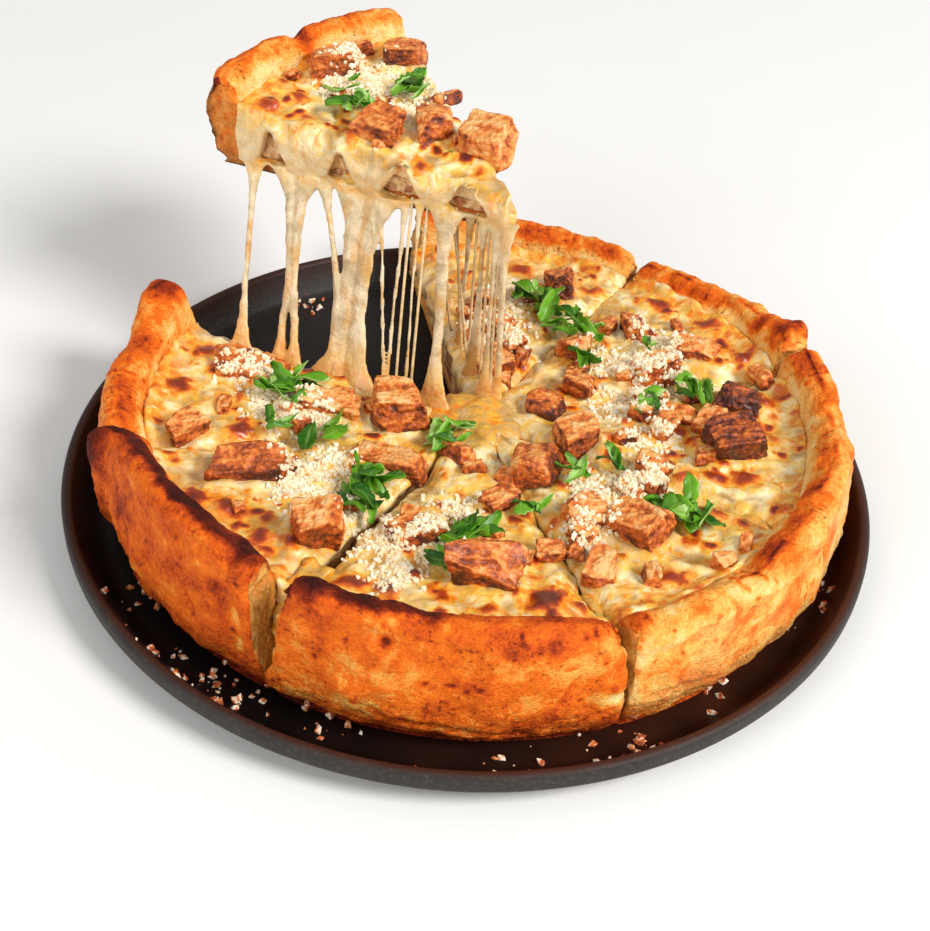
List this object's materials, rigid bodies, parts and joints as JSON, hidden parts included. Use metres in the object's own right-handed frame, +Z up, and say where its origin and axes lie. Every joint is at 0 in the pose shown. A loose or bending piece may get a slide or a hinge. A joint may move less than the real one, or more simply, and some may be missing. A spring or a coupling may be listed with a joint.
{
  "type": "deep dish pizza",
  "caption": "Deep dish pizza in a dark round pan, cut in slices with chicken, basil and grated cheese, one slice lifted on strings of melted cheese.",
  "frame": {"origin": "centre of the pan's flat underside", "axes": "+Z up; +Y from the viewer's side of the pizza towards the lifted slice; +X to the viewer's right"},
  "size_m": [0.28, 0.2836, 0.1198],
  "materials": {
    "pan_steel": "dark seasoned steel, satin, worn paler on the wall and rim",
    "crust": "baked dough, golden brown with darker crests and paler cut faces",
    "filling": "moist crumb of cheese and meat",
    "cheese": "melted cheese, glossy, cream with yellow oil and brown blisters",
    "chicken": "roast chicken, fibrous, glazed orange-brown",
    "basil": "fresh leaf, satin with a paler underside"
  },
  "bodies": {
    "root": {"basil_a": "basil", "basil_b": "basil", "basil_c": "basil", "basil_centre": "basil", "basil_d": "basil", "basil_e": "basil", "basil_f": "basil", "basil_g": "basil", "basil_lifted_long": "basil", "basil_lifted_short": "basil", "cheese_a": "cheese", "cheese_b": "cheese", "cheese_c": "cheese", "cheese_d": "cheese", "cheese_e": "cheese", "cheese_f": "cheese", "cheese_g": "cheese", "cheese_lifted": "cheese", "chicken_a1": "chicken", "chicken_a2": "chicken", "chicken_a3": "chicken", "chicken_b1": "chicken", "chicken_b2": "chicken", "chicken_b3": "chicken", "chicken_c1": "chicken", "chicken_c2": "chicken", "chicken_c3": "chicken", "chicken_d1": "chicken", "chicken_d2": "chicken", "chicken_d3": "chicken", "chicken_e1": "chicken", "chicken_e2": "chicken", "chicken_f1": "chicken", "chicken_f2": "chicken", "chicken_g1": "chicken", "chicken_g2": "chicken", "chicken_g3": "chicken", "chicken_g4": "chicken", "chicken_lifted1": "chicken", "chicken_lifted2": "chicken", "chicken_lifted3": "chicken", "chicken_lifted4": "chicken", "chicken_lifted5": "chicken", "crust_a": "crust", "crust_b": "crust", "crust_c": "crust", "crust_d": "crust", "crust_e": "crust", "crust_f": "crust", "crust_g": "crust", "crust_lifted": "crust", "filling_a": "filling", "filling_b": "filling", "filling_c": "filling", "filling_d": "filling", "filling_e": "filling", "filling_f": "filling", "filling_g": "filling", "filling_lifted": "filling", "pan": "pan_steel"}
  },
  "joints": []
}
